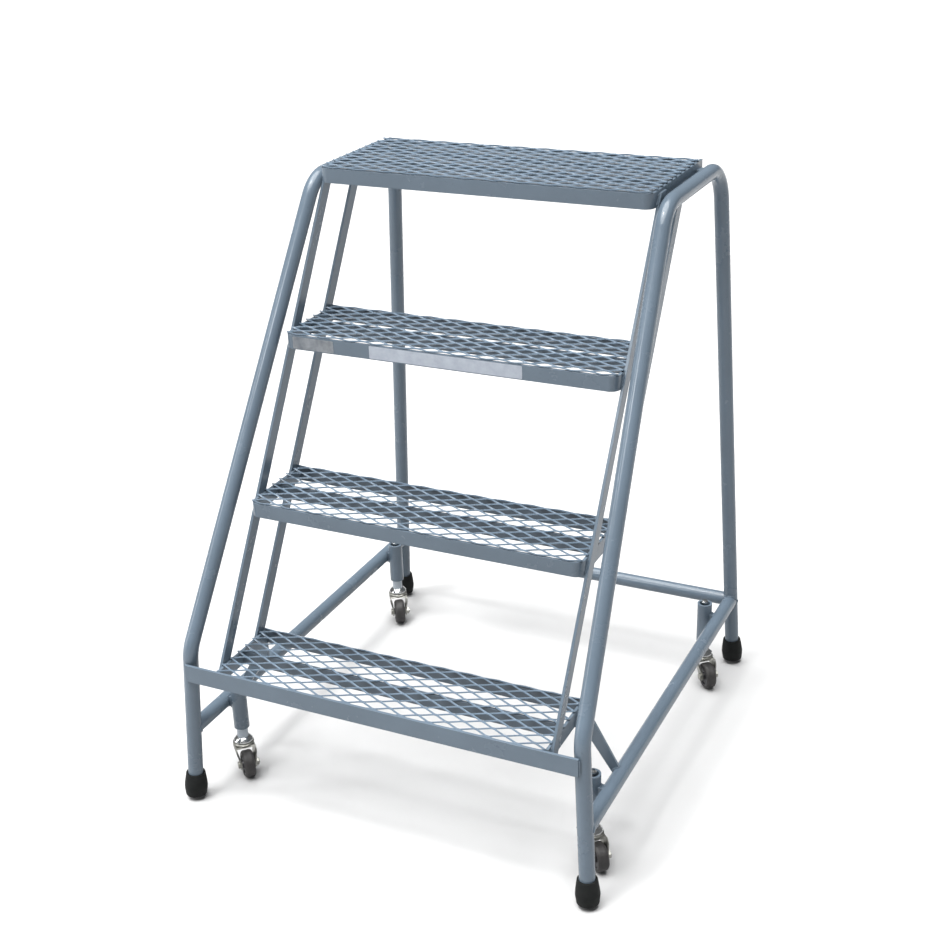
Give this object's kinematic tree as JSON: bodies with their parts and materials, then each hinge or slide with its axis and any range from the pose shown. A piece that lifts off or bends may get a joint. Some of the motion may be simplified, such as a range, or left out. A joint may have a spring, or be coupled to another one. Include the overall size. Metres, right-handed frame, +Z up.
{
  "type": "rolling step ladder",
  "caption": "Rolling warehouse step ladder: bent tube side frames, raised expanded metal treads, rubber tips and sprung swivel casters.",
  "frame": {"origin": "on the floor under the middle of the ladder, with the casters carrying it", "axes": "+Z up, the climbing side faces -Y, +X to the right seen from the climbing side"},
  "size_m": [0.787, 0.844, 1.0384],
  "materials": {
    "frame_paint": "gloss blue-grey enamel",
    "tread_paint": "gloss blue-grey enamel over expanded metal",
    "zinc_plate": "bright zinc plate",
    "zinc_bolt": "bright zinc plate",
    "spring_steel": "oiled spring wire",
    "sleeve_plastic": "light grey, satin",
    "tip_rubber": "matte black moulded rubber",
    "hub_plastic": "satin black moulding",
    "tyre_rubber": "matte dark grey tread"
  },
  "bodies": {
    "ladder_frame": {"side_tube_left": "frame_paint", "base_rail_left": "frame_paint", "step_brace_left": "frame_paint", "stringer_front_left": "frame_paint", "stringer_rear_left": "frame_paint", "side_tube_right": "frame_paint", "base_rail_right": "frame_paint", "step_brace_right": "frame_paint", "stringer_front_right": "frame_paint", "stringer_rear_right": "frame_paint", "base_cross_tube": "frame_paint", "front_bar": "frame_paint", "step_frame_1": "frame_paint", "support_bars_1": "frame_paint", "tread_1": "tread_paint", "step_frame_2": "frame_paint", "support_bars_2": "frame_paint", "tread_2": "tread_paint", "step_frame_3": "frame_paint", "support_bars_3": "frame_paint", "tread_3": "tread_paint", "step_frame_4": "frame_paint", "support_bars_4": "frame_paint", "tread_4": "tread_paint", "tip_front_left": "tip_rubber", "socket_front_left": "frame_paint", "spring_front_left": "spring_steel", "tip_front_right": "tip_rubber", "socket_front_right": "frame_paint", "spring_front_right": "spring_steel", "tip_rear_left": "tip_rubber", "socket_rear_left": "frame_paint", "spring_rear_left": "spring_steel", "tip_rear_right": "tip_rubber", "socket_rear_right": "frame_paint", "spring_rear_right": "spring_steel"},
    "plunger_front_left": {"sleeve_front_left": "sleeve_plastic", "stem_front_left": "zinc_plate"},
    "swivel_front_left": {"fork_front_left": "zinc_plate", "axle_front_left": "zinc_bolt"},
    "wheel_front_left": {"hub_front_left": "hub_plastic", "tyre_front_left": "tyre_rubber"},
    "plunger_front_right": {"sleeve_front_right": "sleeve_plastic", "stem_front_right": "zinc_plate"},
    "swivel_front_right": {"fork_front_right": "zinc_plate", "axle_front_right": "zinc_bolt"},
    "wheel_front_right": {"hub_front_right": "hub_plastic", "tyre_front_right": "tyre_rubber"},
    "plunger_rear_left": {"sleeve_rear_left": "sleeve_plastic", "stem_rear_left": "zinc_plate"},
    "swivel_rear_left": {"fork_rear_left": "zinc_plate", "axle_rear_left": "zinc_bolt"},
    "wheel_rear_left": {"hub_rear_left": "hub_plastic", "tyre_rear_left": "tyre_rubber"},
    "plunger_rear_right": {"sleeve_rear_right": "sleeve_plastic", "stem_rear_right": "zinc_plate"},
    "swivel_rear_right": {"fork_rear_right": "zinc_plate", "axle_rear_right": "zinc_bolt"},
    "wheel_rear_right": {"hub_rear_right": "hub_plastic", "tyre_rear_right": "tyre_rubber"}
  },
  "joints": [
    {"name": "front_left_plunge", "type": "slide", "parent": "ladder_frame", "child": "plunger_front_left", "axis": [0, 0, 1], "range_m": [0, 0.01], "stiffness_N_per_m": 6000, "springref_m": -0.0145, "deforming": ["spring_front_left"]},
    {"name": "front_left_swivel", "type": "hinge", "parent": "plunger_front_left", "child": "swivel_front_left", "pos_m": [-0.33977, -0.294, 0.058], "axis": [0, 0, 1], "continuous": true},
    {"name": "front_left_roll", "type": "hinge", "parent": "swivel_front_left", "child": "wheel_front_left", "pos_m": [-0.32174, -0.31203, 0.025], "axis": [0.7071, 0.7071, 0], "continuous": true},
    {"name": "front_right_plunge", "type": "slide", "parent": "ladder_frame", "child": "plunger_front_right", "axis": [0, 0, 1], "range_m": [0, 0.01], "stiffness_N_per_m": 6000, "springref_m": -0.0145, "deforming": ["spring_front_right"]},
    {"name": "front_right_swivel", "type": "hinge", "parent": "plunger_front_right", "child": "swivel_front_right", "pos_m": [0.33977, -0.294, 0.058], "axis": [0, 0, 1], "continuous": true},
    {"name": "front_right_roll", "type": "hinge", "parent": "swivel_front_right", "child": "wheel_front_right", "pos_m": [0.3578, -0.31203, 0.025], "axis": [0.7071, 0.7071, 0], "continuous": true},
    {"name": "rear_left_plunge", "type": "slide", "parent": "ladder_frame", "child": "plunger_rear_left", "axis": [0, 0, 1], "range_m": [0, 0.01], "stiffness_N_per_m": 6000, "springref_m": -0.0145, "deforming": ["spring_rear_left"]},
    {"name": "rear_left_swivel", "type": "hinge", "parent": "plunger_rear_left", "child": "swivel_rear_left", "pos_m": [-0.33977, 0.31, 0.058], "axis": [0, 0, 1], "continuous": true},
    {"name": "rear_left_roll", "type": "hinge", "parent": "swivel_rear_left", "child": "wheel_rear_left", "pos_m": [-0.32588, 0.28861, 0.025], "axis": [0.8387, 0.5446, 0], "continuous": true},
    {"name": "rear_right_plunge", "type": "slide", "parent": "ladder_frame", "child": "plunger_rear_right", "axis": [0, 0, 1], "range_m": [0, 0.01], "stiffness_N_per_m": 6000, "springref_m": -0.0145, "deforming": ["spring_rear_right"]},
    {"name": "rear_right_swivel", "type": "hinge", "parent": "plunger_rear_right", "child": "swivel_rear_right", "pos_m": [0.33977, 0.31, 0.058], "axis": [0, 0, 1], "continuous": true},
    {"name": "rear_right_roll", "type": "hinge", "parent": "swivel_rear_right", "child": "wheel_rear_right", "pos_m": [0.35616, 0.29047, 0.025], "axis": [0.766, 0.6428, 0], "continuous": true}
  ]
}
